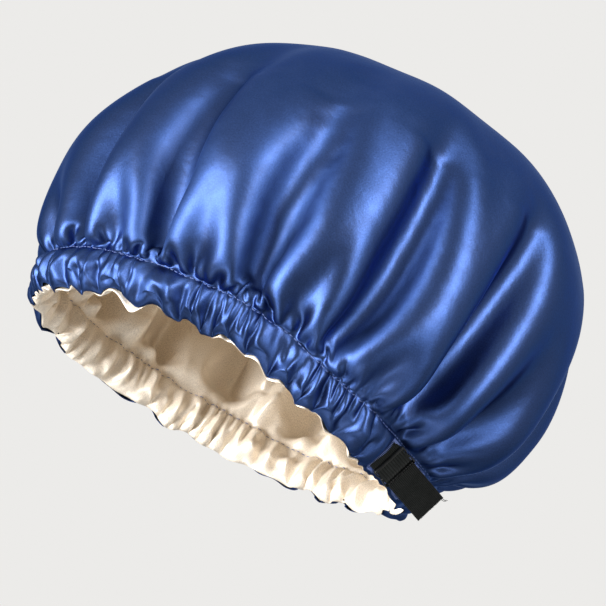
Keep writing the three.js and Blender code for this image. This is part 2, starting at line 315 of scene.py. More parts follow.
# The backdrop, the light and the camera, whose own directions are to its right, up and back towards it
backdrop_color = (0.8388, 0.8308, 0.8148)
world_light = 0.3
view_right = Vector((0.7993, 0.3979, 0.4504))
view_up = Vector((-0.2416, -0.4735, 0.8470))
view_back = Vector((0.5502, -0.7858, -0.2823))
view_width = 0.3394
view_centre = (0.0364, 0.0582)
camera_distance = 3.0
camera_reach = 100
floor_reach = 12
floor_level = -2
lamp_target = (0, 0, 0.08)
lamps = (("key", (-1.2, 0.5, 1.0), (0.9, 1.2), 82),
         ("right", (1.2, 0.6, 1.1), (0.6, 1.1), 42),
         ("low", (-0.4, -1.2, 0.9), (0.8, 0.4), 6))


def smooth(low, high, value):
    share = np.clip((value - low) / (high - low), 0, 1)
    return share * share * (3 - 2 * share)


def faded(fade, climb):
    return 1 - smooth(*fade, climb)


def mix(first, second, share):
    return first + (second - first) * share


def unit(vector):
    return vector / np.linalg.norm(vector)


def summed(steps):
    return np.concatenate([[0], np.cumsum(steps)])


# A direction as an angle of at most half a turn either way from the nape
def turned_from_nape(angle):
    return np.arctan2(np.sin(angle), np.cos(angle))


def from_nape(angle):
    return np.abs(turned_from_nape(angle))


# The opening is an oval, cut flat at the nape
def opening_radius(angle):
    lengthwise = np.cos(angle - fullest_angle)
    reach = np.where(lengthwise > 0, opening_nape_reach, opening_front_reach)
    oval = 1 / np.hypot(lengthwise / reach, np.sin(angle - fullest_angle) / opening_half_width)
    is_flat = np.cos(angle) * oval > nape_distance
    return np.where(is_flat, nape_distance / np.where(is_flat, np.cos(angle), 1), oval)


# How far the edge sags round the nape, over more of the near side than of the far one
def opening_sag(angle):
    fade = np.where(np.sin(angle) > 0, far_sag_fade, near_sag_fade)
    return -sag_depth * (1 - smooth(sag_full, sag_full + fade, from_nape(angle)))


def lean_at(angle):
    return casing_lean * (1 - front_upright_share * smooth(upright_start, upright_full, from_nape(angle)))


# The plain cap's profile in one direction, as a distance from the axis and a height
def profile(angle, climb):
    casing_rise = casing_height * np.minimum(climb, stitch_climb)
    radius = opening_radius(angle) + casing_rise * np.sin(lean_at(angle))
    height = opening_sag(angle) + casing_rise * np.cos(lean_at(angle))
    turned = angle - fullest_angle
    wide = mean_fullness + fore_and_aft_fullness * np.cos(turned) + lengthwise_fullness * np.cos(2 * turned)
    level = mean_fullest_height + fore_and_aft_fullest_height * np.cos(turned)
    low_sweep = np.clip(climb - stitch_climb, 0, 1) * quarter_turn
    high_sweep = np.clip(top_climb - climb, 0, 1) * quarter_turn
    low_radius = mix(radius, wide, np.sin(low_sweep))
    low_height = mix(height, level, 1 - np.cos(low_sweep))
    roundness = mean_dome_roundness - fore_and_aft_dome_roundness * np.cos(turned)
    high_radius = wide * np.sin(high_sweep) ** roundness
    high_height = mix(level, crown_height, np.cos(high_sweep) ** roundness)
    is_low = climb <= fullest_climb
    return np.where(is_low, low_radius, high_radius), np.where(is_low, low_height, high_height)


def plain_point(angle, climb):
    radius, height = profile(angle, climb)
    return np.stack([radius * np.cos(angle), radius * np.sin(angle), height], -1)


def plain_normal(angle, climb):
    across = plain_point(angle + slope_step, climb) - plain_point(angle - slope_step, climb)
    ahead = np.minimum(climb + slope_step, top_climb - slope_step)
    upwards = plain_point(angle, ahead) - plain_point(angle, ahead - 2 * slope_step)
    normal = np.cross(across, upwards)
    return normal / np.linalg.norm(normal, axis=-1, keepdims=True)


# The plain crown in fine steps up from the stitch line: climbs, mean lengths of step, and mean radii
def crown_profile():
    fine = np.linspace(stitch_climb, top_climb, profile_steps + 1)
    around = np.linspace(0, full_turn, profile_directions, endpoint=False)[:, None]
    points = plain_point(around, fine[None, :])
    steps = np.linalg.norm(np.diff(points, axis=1), axis=-1).mean(0)
    return fine, steps, np.hypot(points[..., 0], points[..., 1]).mean(0)


# The climbs of the crown's rows, evenly spaced up the cloth, and the crown's length
def crown_climbs():
    fine, steps, _ = crown_profile()
    lengths = summed(steps)
    rows = round(lengths[-1] / row_spacing)
    return np.interp(np.arange(1, rows) * lengths[-1] / rows, lengths, fine), lengths[-1]


# The rings of the cloth from the edge to the top: each has a climb and a number of columns
def cloth_rings():
    found, length = crown_climbs()
    columns = most_columns
    rings = [(climb, columns) for climb in np.linspace(0, stitch_climb, casing_rows + 1)]
    for row, climb in enumerate(found):
        left = length * (1 - (row + 1) / (len(found) + 1))
        spacing = full_turn * left / columns
        if columns > fewest_columns and spacing < row_spacing * tightest_spacing_share:
            columns //= 2
        rings.append((climb, columns))
    return rings


rings = cloth_rings()
ring_starts = [int(start) for start in summed([columns for _, columns in rings])]
angles = np.concatenate([np.arange(columns) * full_turn / columns for _, columns in rings] + [[0.0]])
climbs = np.concatenate([np.full(columns, climb) for climb, columns in rings] + [[float(top_climb)]])
in_crown = climbs > stitch_climb + slope_step / 10
outwards = np.stack([np.cos(angles), np.sin(angles), 0 * angles], -1)


# The cloth is open at the slit that the strap comes out of
def in_slit(level, column):
    if level not in range(slit_margin_rows, casing_rows - slit_margin_rows):
        return False
    angle = (column + 0.5) * full_turn / most_columns
    return from_nape(angle) < quarter_turn and slit_low < nape_distance * math.tan(angle) < slit_high


# The faces between the rings, with or without the slit, and those round the point at the top
def cloth_faces(has_slit):
    faces = []
    for level in range(len(rings) - 1):
        low, high = ring_starts[level], ring_starts[level + 1]
        low_count, high_count = rings[level][1], rings[level + 1][1]
        ratio = low_count // high_count
        for column in range(high_count):
            if has_slit and in_slit(level, column):
                continue
            below = [low + (ratio * column + step) % low_count for step in range(ratio + 1)]
            faces.append([*below, high + (column + 1) % high_count, high + column])
    last, top, columns = ring_starts[-2], ring_starts[-1], rings[-1][1]
    for column in range(columns):
        faces.append([last + column, last + (column + 1) % columns, top])
    return faces


all_faces = cloth_faces(False)


# Waves whose spacing drifts, as a phase that grows by a full turn for each wave
def drifting_phase(angle, count, drift, seed):
    chance = np.random.default_rng(seed)
    phase = count * angle
    for waves in drift_waves:
        phase = phase + drift * chance.normal() * np.sin(waves * angle + chance.uniform(0, full_turn))
    return phase


# A smooth random height round the cap, of about 1 either way
def slow_noise(angle, seed, low, high):
    chance = np.random.default_rng(seed)
    total = 0 * angle
    for waves in range(low, high):
        total = total + chance.normal() * np.sin(waves * angle + chance.uniform(0, full_turn))
    return total / math.sqrt((high - low) / 2)


# A noise of one cloth's own, whose side is 1 for the outer cloth and -1 for the lining
def own_noise(angle, side, noise):
    seed, low, high = noise
    return slow_noise(angle, seed - side, low, high)


# Broad round ridges between narrow valleys, from 0 to 1
def ridge(phase, sharpness=ridge_sharpness):
    return np.abs(np.cos(phase / 2)) ** sharpness


def stitch_phase(angle):
    return drifting_phase(angle, *stitch_waves)


def rim_phase(angle):
    return drifting_phase(angle, *rim_waves)


# Where a point lies between the creases, which lean aside as they climb, counted in creases
def crease_count_at(angle, climb):
    start = angle
    for _ in range(lean_rounds):
        start = angle - crease_lean * np.sin(start + lean_start) * np.maximum(climb - stitch_climb, 0)
    places = crease_places + [math.degrees(full_turn)]
    return np.interp(np.degrees(np.mod(start, full_turn)), places, np.arange(len(places)))


# A groove with a round upper end, from 0 to 1. How far aside a point is goes from -1 to 1 across the groove.
def groove(aside, climb, top, end):
    beyond = np.maximum(climb - top + end, 0) / end
    return 0.5 + 0.5 * np.cos(half_turn * np.minimum(np.hypot(aside, beyond), 1))


# The broad folds stand a little proud between the creases, which go down to about -1
def broad_folds(count, climb):
    nearest = np.round(count).astype(int) % len(crease_places)
    depth = groove(2 * (count - np.round(count)), climb, np.take(crease_tops, nearest), crease_end)
    depth = np.take(crease_depth_shares, nearest) * depth ** crease_sharpness
    return broad_level_share * faded(broad_level_fade, climb) - depth


# A pucker halfway between each two creases, just above the stitch line
def puckers(count, angle, climb):
    between_creases = count + 0.5
    aside = pucker_narrowness * (between_creases - np.round(between_creases))
    ends = pucker_top + pucker_top_wander * slow_noise(angle, *pucker_top_noise)
    size = np.clip(1 + pucker_wander_share * slow_noise(angle, *pucker_noise), 0, most_pucker_share)
    return groove(aside, climb, ends, pucker_end) * size


def small_folds(angle, climb):
    phase = drifting_phase(angle + small_lean * (climb - stitch_climb), *small_waves)
    return ridge(phase) * (1 + small_wander_share * slow_noise(angle, *small_noise)) - ridge_level_share


def crown_height_at(angle, climb):
    count = crease_count_at(angle, climb)
    total = broad_height * broad_folds(count, climb) * smooth(*broad_growth, climb)
    total = total - pucker_depth * puckers(count, angle, climb) * smooth(*pucker_growth, climb)
    long = long_height * np.cos(half_turn * count)
    total = total + long * smooth(*long_growth, climb) * faded(long_fade, climb)
    small = small_height * small_folds(angle, climb)
    return total + small * smooth(*small_growth, climb) * faded(small_fade, climb)


# The lining's own folds, which hang inwards from the crown
def lining_folds(angle, climb):
    phase = drifting_phase(angle + lining_lean * (climb - stitch_climb), *lining_waves)
    size = 1 + lining_wander_share * slow_noise(angle, *lining_noise)
    size = np.clip(size, least_lining_share, most_lining_share) * smooth(*lining_growth, climb)
    return lining_fold_height * ridge(phase, lining_sharpness) * size * faded(lining_fade, climb)


def seam_height_at(angle, climb):
    scallop = (ridge(stitch_phase(angle)) - ridge_level_share) * stitch_scallop
    ruffle = (ridge(rim_phase(angle)) - ridge_level_share) * rim_ruffle
    at_stitch = smooth(*scallop_growth, climb) * faded(scallop_fade, climb)
    return scallop * at_stitch + ruffle * faded(ruffle_fade, climb)


# Half a wave up the casing, from its edge to the stitch line
def casing_wave(climb):
    return np.sin(half_turn * np.clip(climb, 0, stitch_climb))


def crumple(angle, climb, seed):
    chance = np.random.default_rng(seed)
    total = 0 * angle
    for _ in range(crumple_waves):
        waves_round = chance.integers(*crumple_round_waves)
        waves_up = chance.uniform(-crumple_up_waves, crumple_up_waves)
        start = chance.uniform(0, full_turn)
        total = total + np.sin(waves_round * angle + full_turn * waves_up * climb + start)
    return np.abs(total) / crumple_mean


# The gathers of one cloth of the casing, which bulge away from the other cloth. Those from the edge and those
# from the stitch line meet about halfway.
def casing_height_at(angle, climb, side):
    opposite = 0 if side > 0 else half_turn
    slant = gather_slant + gather_slant_wander * own_noise(angle, side, gather_slant_noise)
    lower = ridge(rim_phase(angle) + opposite + slant * climb, gather_sharpness)
    upper = ridge(stitch_phase(angle) + opposite + slant * (climb - stitch_climb), gather_sharpness)
    meeting = middle_climb + meeting_wander * own_noise(angle, side, meeting_noise)
    pattern = mix(lower, upper, smooth(meeting - meeting_reach, meeting + meeting_reach, climb))
    size = 1 + gather_wander_share * own_noise(angle, side, gather_noise)
    height = gather_height * np.clip(size, least_gather_share, most_gather_share)
    height = height * mix(gather_base_share, 1, pattern)
    creased = height - crumple_height * crumple(angle, climb, crumple_seed + side)
    return creased * casing_wave(climb) ** gather_roundness


# How far the cap turns inwards behind the strap's tail, which stands clear of it
def turn_in(angle, climb):
    turned = turned_from_nape(angle)
    side_share = smooth(*tail_gap_growth, turned) * faded(tail_gap_fade, turned)
    return tail_gap * side_share * faded(tail_gap_climbs, climb)


# The puffed end of the casing beside the slider, from 0 to 1
def end_lobe(angle, climb):
    across = np.clip((turned_from_nape(angle) - lobe_angle) / lobe_half_width, -1, 1)
    puff = (1 - across ** 2) ** lobe_side_roundness * casing_wave(climb) ** lobe_roundness
    return puff * (climb < stitch_climb)


# The casing is plain where the slit and the strap's tail lie on it, further round on the tail's side
def away_from_strap(angle):
    plain_until = np.where(np.sin(angle) > 0, plain_far_side, plain_near_side)
    return smooth(plain_until, plain_until + plain_fade, from_nape(angle))


# How far up the edge is drawn, as a climb: most where it ruffles outwards, and it wanders a little
def rim_draw(angle, climb):
    drawn = rim_rise * (ridge(rim_phase(angle)) - rim_level_share)
    drawn = drawn + rim_wander * slow_noise(angle, *rim_noise)
    drawn = drawn * mix(rim_at_strap_share, 1, away_from_strap(angle))
    return (drawn - lobe_drop * end_lobe(angle, middle_climb)) * faded(rim_fade, climb)


base_points = plain_point(angles, climbs + rim_draw(angles, climbs))
base_points[-1] = (0, 0, crown_height)
base_points = base_points - outwards * turn_in(angles, climbs)[:, None]
base_normals = plain_normal(angles, climbs)
base_normals[-1] = (0, 0, 1)


# The cap with its folds, as points halfway between its two cloths
def folded_middle():
    height = np.where(in_crown, crown_height_at(angles, climbs), 0)
    height = height + seam_height_at(angles, climbs) * away_from_strap(angles)
    return base_points + base_normals * height[:, None]


def cloth_normals(points):
    mesh = bpy.data.meshes.new("normals")
    mesh.from_pydata(points.tolist(), [], all_faces)
    found = np.zeros(len(points) * 3)
    mesh.vertex_normals.foreach_get("vector", found)
    bpy.data.meshes.remove(mesh)
    return found.reshape(-1, 3)


# The length of cloth from the top down to each point, on the plain cap
def flat_radius():
    fine = np.linspace(0, top_climb, flat_steps + 1)
    around = np.linspace(0, full_turn, flat_directions + 1)
    points = plain_point(around[:, None], fine[None, :])
    steps = np.linalg.norm(np.diff(points, axis=1), axis=-1)
    lengths = np.array([summed(row) for row in steps])
    lengths = lengths[:, -1:] - lengths
    column = angles / full_turn * flat_directions
    low = column.astype(int)
    at = climbs / top_climb * flat_steps
    row = np.clip(at.astype(int), 0, flat_steps - 1)
    share = at - row
    first = mix(lengths[low, row], lengths[low, row + 1], share)
    second = mix(lengths[low + 1, row], lengths[low + 1, row + 1], share)
    return mix(first, second, column - low)


flat = flat_radius()


# The cloth's shape when nothing gathers it, whose lengths the settled cloth keeps
def ungathered_points():
    _, steps, radius = crown_profile()
    steps, radius = steps[::-1], radius[::-1]
    down = summed(steps)
    radius = radius * np.interp(down / down[-1], gather_place_shares, gather_width_shares)
    fall = summed(np.sqrt(np.maximum(steps ** 2 - np.diff(radius) ** 2, 0)))
    out = np.interp(flat, down, radius)
    drop = np.interp(flat, down, fall)
    return np.stack([out * np.cos(angles), out * np.sin(angles), -drop], -1)


# Pairs of points that pull and push on each other, in sets in which no point comes twice
def pair_sets():
    found = {}

    def add(kind, part, first, second):
        found.setdefault((kind, part), []).append((first, second))

    for level in range(casing_rows, len(rings)):
        start, count = ring_starts[level], rings[level][1]
        column = np.arange(count)
        for part in (0, 1):
            chosen = column[column % 2 == part]
            add("edge", part, start + chosen, start + (chosen + 1) % count)
            if count % 4 == 0:
                chosen = column[column % 4 // 2 == part]
                add("bend", part, start + chosen, start + (chosen + 2) % count)
                reach = max(2, wide_step * count // most_columns)
                chosen = column[column % (2 * reach) // reach == part]
                add("wide", part, start + chosen, start + (chosen + reach) % count)
        if level + 1 == len(rings):
            continue
        above, more = ring_starts[level + 1], rings[level + 1][1]
        ratio = count // more
        column = np.arange(more)
        add("edge", 2 + level % 2, start + ratio * column, above + column)
        if ratio == 2:
            add("shear", 4 + level % 2, start + 2 * column + 1, above + column)
            add("shear", 6 + level % 2, start + 2 * column + 1, above + (column + 1) % more)
            continue
        add("shear", level % 2, start + column, above + (column + 1) % more)
        add("shear", 2 + level % 2, start + (column + 1) % count, above + column)
        if level + 2 < len(rings) and rings[level + 2][1] == count:
            add("bend", 2 + level % 4 // 2, start + column, ring_starts[level + 2] + column)
    return [(key[0], *(np.concatenate(side) for side in zip(*parts))) for key, parts in sorted(found.items())]


# The slow part of a height round each ring, which a fold doesn't have
def slow_part(height):
    slow = np.zeros_like(height)
    for level in range(casing_rows, len(rings)):
        start, count = ring_starts[level], rings[level][1]
        waves = np.fft.rfft(height[start:start + count])
        waves[slow_waves + 1:] = 0
        slow[start:start + count] = np.fft.irfft(waves, count)
    return slow


def height_over_plain(points):
    return ((points - base_points) * base_normals).sum(1)


# Each set's pairs, how much of a pull each end takes, their lengths at first and at last, and how much of a
# length too long and of one too short a round mends
def cloth_pulls(points, free):
    kinds = {"edge": (1, squeeze_share), "shear": (shear_share, shear_share), "bend": (0, bend_share),
             "wide": (0, wide_share)}
    rest = ungathered_points()
    pulls = []
    for kind, first, second in pair_sets():
        weight = free[first] + free[second]
        keep = weight > 0
        first, second, weight = first[keep], second[keep], weight[keep]
        begin = np.linalg.norm(points[second] - points[first], axis=1)
        aim = np.linalg.norm(rest[second] - rest[first], axis=1)
        stretch, squeeze = kinds[kind]
        if kind == "wide":
            squeeze = squeeze * smooth(*wide_growth, climbs[first])
        pulls.append((first, second, (free[first] / weight)[:, None], (free[second] / weight)[:, None],
                      begin, aim, stretch, squeeze))
    return pulls


# Lets the gathered cloth find its folds: it keeps its own lengths, resists bending a little and bulges out
def settle(points):
    free = in_crown.astype(float)
    free[ring_starts[-2]:] = 0
    pulls = cloth_pulls(points, free)
    now, before = points.copy(), points.copy()
    limit = furthest_move * mix(seam_move_share, 1, smooth(*move_growth, climbs))
    start_height = slow_part(height_over_plain(points))
    for turn in range(settle_rounds):
        grown = smooth(0, lengthen_share, (turn + 1) / settle_rounds)
        speed = (now - before) * coast_share * free[:, None]
        before = now.copy()
        now = now + speed
        if turn % push_every == 0:
            push = cloth_normals(now) * pressure_step * free[:, None]
        now = now + push
        for first, second, share_first, share_second, begin, aim, stretch, squeeze in pulls:
            gap = now[second] - now[first]
            length = np.sqrt((gap * gap).sum(1))
            over = length - mix(begin, aim, grown)
            pull = np.where(over > 0, stretch, squeeze) * over / length
            gap *= pull[:, None]
            now[first] += gap * share_first
            now[second] -= gap * share_second
        if turn % level_every == 0:
            drift = slow_part(height_over_plain(now)) - start_height
            shift = base_normals * (drift * free)[:, None]
            now = now - shift
            before = before - shift
        move = now - points
        far = np.linalg.norm(move, axis=1)
        now = points + move * (np.minimum(far, limit) / np.maximum(far, smallest_move))[:, None]
    return now


# Evens out the folds, most where they run out near the top
def soften(points):
    pairs = [(first, second) for kind, first, second in pair_sets() if kind == "edge"]
    neighbours = np.zeros(len(points))
    for first, second in pairs:
        neighbours[first] += 1
        neighbours[second] += 1
    share = soften_share * mix(soften_low_share, 1, smooth(*soften_high_growth, climbs))
    share = share * smooth(*soften_low_growth, climbs) * (neighbours > 0)
    move = points - base_points
    for _ in range(soften_rounds):
        around = np.zeros_like(move)
        for first, second in pairs:
            around[first] += move[second]
            around[second] += move[first]
        around /= np.maximum(neighbours, 1)[:, None]
        move = mix(move, around, share[:, None])
    return base_points + move


# How far the outer cloth is from the ring of places inside the cap, in the direction of each point
def room_inside(middle, hearts, ways, lengths):
    tree = BVHTree.FromPolygons(middle.tolist(), all_faces)
    room = lengths.copy()
    for at in np.flatnonzero(in_crown):
        distance = tree.ray_cast(Vector(hearts[at]), Vector(ways[at]))[3]
        room[at] = distance or lengths[at]
    return room


# The lining hangs inside the deepest of the outer cloth's valleys nearby, in softer folds of its own
def lining_middle(middle):
    hearts = outwards * heart_radius + np.array((0, 0, heart_height))
    lengths = np.linalg.norm(base_points - hearts, axis=1)
    ways = (base_points - hearts) / lengths[:, None]
    room = room_inside(middle, hearts, ways, lengths)
    for level in range(casing_rows + 1, casing_rows + 1 + lining_low_rows):
        start, end = ring_starts[level], ring_starts[level + 1]
        room[start:end] = np.min([room[start + rise * most_columns:end + rise * most_columns]
                                  for rise in range(lining_rows_above)], axis=0)
    inside = room.copy()
    near = range(-lining_spread, lining_spread + 1)
    for level in range(casing_rows + 1, len(rings)):
        ring = slice(ring_starts[level], ring_starts[level + 1])
        lowest = np.min([np.roll(room[ring], step) for step in near], axis=0)
        inside[ring] = np.mean([np.roll(lowest, step) for step in near], axis=0)
    inside = inside - lining_slack - lining_folds(angles, climbs)
    return np.where(in_crown[:, None], hearts + ways * inside[:, None], middle)


def placed(name, data):
    obj = bpy.data.objects.new(name, data)
    bpy.context.scene.collection.objects.link(obj)
    return obj


def mesh_object(name, points, faces, look):
    mesh = bpy.data.meshes.new(name)
    mesh.from_pydata([tuple(point) for point in points], [], faces)
    mesh.materials.append(look)
    return placed(name, mesh)


def shade_smooth(obj, most_bend=math.radians(50)):
    for polygon in obj.data.polygons:
        polygon.use_smooth = True
    obj.data.set_sharp_from_angle(angle=most_bend)


# One cloth, on its side of the points halfway between the two, with its flat shape as its texture places
def cloth_mesh(name, side, middle, normals, look):
    gathers = casing_height_at(angles, climbs, side)
    gathers = gathers * mix(gather_at_strap_share, 1, away_from_strap(angles))
    if side > 0:
        gathers = np.maximum(gathers, lobe_height * end_lobe(angles, climbs))
    gap = np.where(in_crown, layer_gap, mix(layer_gap, channel_gap, casing_wave(climbs)))
    distance = side * (gap + np.where(in_crown, 0, gathers))
    points = middle + normals * distance[:, None]
    slip = side * edge_slip * (slip_level_share + slow_noise(angles, *slip_noise)) * faded(slip_fade, climbs)
    points = points + np.stack([0 * slip, 0 * slip, slip * away_from_strap(angles)], -1)
    faces = cloth_faces(True) if side > 0 else [face[::-1] for face in all_faces]
    obj = mesh_object(name, points, faces, look)
    mesh = obj.data
    layer = mesh.uv_layers.new(name="flat")
    corners = np.zeros(len(mesh.loops), int)
    mesh.loops.foreach_get("vertex_index", corners)
    places = np.stack([flat * np.cos(angles), flat * np.sin(angles)], -1)
    layer.data.foreach_set("uv", places[corners].ravel())
    for polygon in mesh.polygons:
        polygon.use_smooth = True
    return obj


def solidify(obj):
    smoothed = obj.modifiers.new("smoothed", "SUBSURF")
    smoothed.levels = smoothed.render_levels = 1
    thick = obj.modifiers.new("thickness", "SOLIDIFY")
    thick.thickness = cloth_thickness
    thick.offset = -1


def material(name, color, roughness, **more):
    made = bpy.data.materials.new(name)
    made.use_nodes = True
    shader = made.node_tree.nodes["Principled BSDF"]
    shader.inputs["Base Color"].default_value = (*color, 1)
    shader.inputs["Roughness"].default_value = roughness
    for setting, value in more.items():
        shader.inputs[setting].default_value = value
    return made, shader


# Noise at a size in metres, stretched along one way, on the flat cloth or in the object's own space
def grain(made, size, stretch=(1, 1, 1), on_cloth=True, detail=2):
    nodes, links = made.node_tree.nodes, made.node_tree.links
    if on_cloth:
        source = nodes.new("ShaderNodeUVMap")
        source.uv_map = "flat"
        output = source.outputs["UV"]
    else:
        output = nodes.new("ShaderNodeTexCoord").outputs["Object"]
    mapping = nodes.new("ShaderNodeMapping")
    mapping.inputs["Scale"].default_value = [1 / (size * way) for way in stretch]
    links.new(output, mapping.inputs["Vector"])
    noise = nodes.new("ShaderNodeTexNoise")
    noise.inputs["Scale"].default_value = 1
    noise.inputs["Detail"].default_value = detail
    links.new(mapping.outputs["Vector"], noise.inputs["Vector"])
    return noise.outputs["Fac"]


# A value between two that follows the middle half of a noise
def between(made, pattern, socket, low, high):
    reach = made.node_tree.nodes.new("ShaderNodeMapRange")
    reach.inputs["From Min"].default_value = 0.25
    reach.inputs["From Max"].default_value = 0.75
    reach.inputs["To Min"].default_value = low
    reach.inputs["To Max"].default_value = high
    made.node_tree.links.new(pattern, reach.inputs["Value"])
    made.node_tree.links.new(reach.outputs["Result"], socket)


def two_tones(made, pattern, dark, light, shader):
    blend = made.node_tree.nodes.new("ShaderNodeMix")
    blend.data_type = "RGBA"
    blend.inputs["A"].default_value = (*dark, 1)
    blend.inputs["B"].default_value = (*light, 1)
    between(made, pattern, blend.inputs["Factor"], low=0, high=1)
    made.node_tree.links.new(blend.outputs["Result"], shader.inputs["Base Color"])


# Relief from several patterns, each with its height in metres
def relief(made, shader, *layers):
    nodes, links = made.node_tree.nodes, made.node_tree.links
    below = None
    for pattern, height in layers:
        bump = nodes.new("ShaderNodeBump")
        bump.inputs["Distance"].default_value = height
        links.new(pattern, bump.inputs["Height"])
        if below:
            links.new(below, bump.inputs["Normal"])
        below = bump.outputs["Normal"]
    links.new(below, shader.inputs["Normal"])


# Satin: long floating threads that shine along one way, a fine grain, slubs and soft crush marks
def satin(name, color, edge, metallic, roughness):
    grain_size, slub_size, slub_stretch, crush_size = 0.0009, 0.0007, (1, 9, 1), 0.011
    grain_depth, slub_depth, crush_depth = 0.00004, 0.00003, 0.00035
    dark_share, light_share, roughness_reach = 0.72, 1.28, 0.05
    shine = {"Metallic": metallic, "Specular IOR Level": 0.5, "Specular Tint": (*edge, 1),
             "Anisotropic": 0.65, "Coat Weight": 0.15, "Coat Roughness": 0.42}
    made, shader = material(name, color, roughness, **shine)
    tangent = made.node_tree.nodes.new("ShaderNodeTangent")
    tangent.direction_type = "UV_MAP"
    tangent.uv_map = "flat"
    made.node_tree.links.new(tangent.outputs["Tangent"], shader.inputs["Tangent"])
    speckle = grain(made, grain_size, detail=3)
    slubs = grain(made, slub_size, slub_stretch)
    crush = grain(made, crush_size, detail=3)
    dark, light = [part * dark_share for part in color], [min(part * light_share, 1) for part in color]
    two_tones(made, speckle, dark, light, shader)
    between(made, crush, shader.inputs["Roughness"], roughness - roughness_reach, roughness + roughness_reach)
    relief(made, shader, (crush, crush_depth), (slubs, slub_depth), (speckle, grain_depth))
    return made


# Woven elastic: rows of tiny loops over its ribs, matte and a little dusty
def woven_elastic():
    color, dark, light = (0.004, 0.005, 0.0045), (0.003, 0.004, 0.0035), (0.007, 0.008, 0.0075)
    loop_size, loop_stretch, loop_depth, dust_size = 0.0006, (1, 0.6, 1), 0.00022, 0.006
    sheen = {"Specular IOR Level": 0.12, "Sheen Weight": 0.02, "Sheen Roughness": 0.5}
    made, shader = material("black_elastic", color, roughness=0.75, **sheen)
    loops = grain(made, loop_size, loop_stretch, on_cloth=False)
    dust = grain(made, dust_size, on_cloth=False, detail=4)
    two_tones(made, dust, dark, light, shader)
    between(made, loops, shader.inputs["Roughness"], low=0.7, high=0.9)
    relief(made, shader, (loops, loop_depth))
    return made


# Moulded plastic with a faint grain and rubbed-looking patches, lighter and rougher, at random all over
def moulded_plastic():
    color, dark, light = (0.004, 0.0045, 0.0045), (0.003, 0.0035, 0.0035), (0.006, 0.0065, 0.0065)
    peel_size, peel_depth, rubbed_size = 0.0008, 0.00003, 0.004
    made, shader = material("black_plastic", color, roughness=0.36, **{"Specular IOR Level": 0.25})
    orange_peel = grain(made, peel_size, on_cloth=False)
    rubbed = grain(made, rubbed_size, on_cloth=False, detail=4)
    two_tones(made, rubbed, dark, light, shader)
    between(made, rubbed, shader.inputs["Roughness"], low=0.28, high=0.46)
    relief(made, shader, (orange_peel, peel_depth))
    return made


# Twisted sewing thread
def sewing_thread():
    color, dark, light = (0.045, 0.085, 0.26), (0.02, 0.04, 0.14), (0.09, 0.15, 0.40)
    ply_size, ply_stretch, ply_depth = 0.0003, (1, 1, 0.5), 0.0001
    made, shader = material("blue_thread", color, roughness=0.55, **{"Sheen Weight": 0.2})
    plies = grain(made, ply_size, ply_stretch, on_cloth=False)
    two_tones(made, plies, dark, light, shader)
    relief(made, shader, (plies, ply_depth))
    return made


middle = folded_middle()
middle = soften(settle(middle))
normals = cloth_normals(middle)
inner = lining_middle(middle)
blue = satin("blue_satin", color=(0.025, 0.052, 0.155), edge=(0.25, 0.42, 0.8), metallic=1, roughness=0.47)
cream = satin("champagne_satin", color=(0.80, 0.70, 0.585), edge=(1, 0.96, 0.9), metallic=0.3, roughness=0.38)
outer = cloth_mesh("outer_satin", 1, middle, normals, blue)
lining = cloth_mesh("lining_satin", -1, inner, cloth_normals(inner), cream)
for cloth, node, slot in ((outer, "outer_cloth", "blue_satin"), (lining, "lining", "champagne_satin")):
    solidify(cloth)
    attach(cloth, "cap")
    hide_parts(node)


# The strap's own directions: along it, up its width and out of the cap
strap_along = np.array((0, 1, 0))
strap_up = np.array((math.sin(casing_lean), 0, math.cos(casing_lean)))
strap_out = np.array((math.cos(casing_lean), 0, -math.sin(casing_lean)))
strap_middle = np.array((nape_distance, 0, -sag_depth)) + strap_up * casing_height / 2
slider_low = run_height + elastic_thickness / 2 + slider_gap


def strap_point(along, up, out):
    return strap_middle + strap_along * along + strap_up * up + strap_out * out


# The way out of the strap's face where it slopes outwards
def sloped_out(slope):
    return strap_out * math.cos(slope) - strap_along * math.sin(slope)


# A strip of ribbed elastic through places, each with the directions up its width and out of its face
def ribbon(name, strip, look, ribs):
    across = np.linspace(-0.5, 0.5, ribs * rib_points + 1)
    bulge = elastic_thickness / 2 - rib_height * (0.5 + 0.5 * np.cos(full_turn * ribs * (across + 0.5)))
    bulge[[0, -1]] = elastic_thickness / 4
    section = [(share * strap_width, height) for share, height in zip(across, bulge)]
    section += [(wide, -height) for wide, height in section[::-1]]
    points = [place + up * wide + out * height for place, up, out in strip for wide, height in section]
    obj = mesh_object(name, points, tube_faces(len(strip), len(section)), look)
    shade_smooth(obj)
    return obj


# The faces of a tube of rows of points, with closed ends
def tube_faces(rows, sides):
    faces = []
    for row in range(rows - 1):
        for side in range(sides):
            after = (side + 1) % sides
            faces.append([row * sides + side, row * sides + after,
                          (row + 1) * sides + after, (row + 1) * sides + side])
    faces.append(list(range(sides))[::-1])
    faces.append([(rows - 1) * sides + side for side in range(sides)])
    return faces


# A place of the casing on one of a cloth's rings, between its points
def ring_point(points, level, angle):
    start, count = ring_starts[level], rings[level][1]
    at = (angle / full_turn * count) % count
    low = int(at)
    return mix(points[start + low], points[start + (low + 1) % count], at - low)


def casing_point(points, angle, climb):
    at = min(climb, stitch_climb) * casing_rows
    low = min(int(at), casing_rows - 1)
    return mix(ring_point(points, low, angle), ring_point(points, low + 1, angle), at - low)


